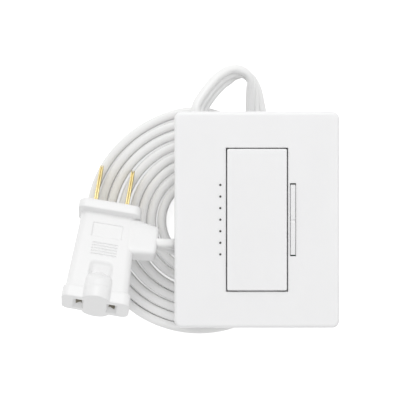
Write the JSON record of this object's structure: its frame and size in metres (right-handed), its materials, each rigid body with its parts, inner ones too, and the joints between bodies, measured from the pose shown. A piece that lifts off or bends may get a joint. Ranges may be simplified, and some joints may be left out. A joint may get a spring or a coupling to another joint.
{
  "type": "plug-in lamp dimmer",
  "caption": "Corded table-top lamp dimmer with a tap switch, a dimming rocker, indicator lights, a coiled flat cord and a tap-through plug.",
  "frame": {"origin": "centre of the dimmer's own box, without its cord and plug", "axes": "+X to the right of the plate, +Y to its top, +Z out of its front face; it lies face up on its coiled cord"},
  "size_m": [0.1114, 0.1099, 0.0441],
  "materials": {
    "plate_plastic": "satin",
    "housing_plastic": "matte",
    "key_plastic": "satin",
    "frame_plastic": "matte",
    "pipe_plastic": "clear",
    "led": "gloss",
    "board": "solder mask",
    "black_plastic": "matte",
    "aluminium": "mill",
    "copper_wire": "enamelled winding",
    "capacitor": "gloss",
    "fuse_body": "matte",
    "steel": "zinc plated",
    "rubber": "matte",
    "cord_vinyl": "soft satin",
    "plug_vinyl": "satin",
    "brass": "stamped"
  },
  "bodies": {
    "base": {"front_cover": "plate_plastic", "rear_housing": "housing_plastic", "strain_relief": "housing_plastic", "switch_frame": "frame_plastic", "light_pipes": "pipe_plastic", "indicator_leds": "led", "circuit_board": "board", "tact_switches": "black_plastic", "control_chip": "black_plastic", "choke": "copper_wire", "heat_sink": "aluminium", "triac": "black_plastic", "filter_capacitor": "capacitor", "fuse": "fuse_body", "case_screws": "steel", "rubber_feet": "rubber", "plug_body": "plug_vinyl", "blade_left": "brass", "blade_right": "brass", "receptacle_contacts": "brass", "cord_loop": "cord_vinyl", "cord_coil": "cord_vinyl", "cord_lead": "cord_vinyl"},
    "paddle": {"tap_switch": "key_plastic"},
    "rocker": {"dim_rocker": "key_plastic"}
  },
  "joints": [
    {"name": "tap_press", "type": "hinge", "parent": "base", "child": "paddle", "pos_m": [0, 0.0297, 0.0084], "axis": [1, 0, 0], "range_deg": [0, 0.8], "stiffness_Nm_per_rad": 4, "springref_deg": -1.72},
    {"name": "dim_tilt", "type": "hinge", "parent": "base", "child": "rocker", "pos_m": [0.0143, 0, 0.0074], "axis": [1, 0, 0], "range_deg": [-3, 3], "stiffness_Nm_per_rad": 0.05}
  ]
}
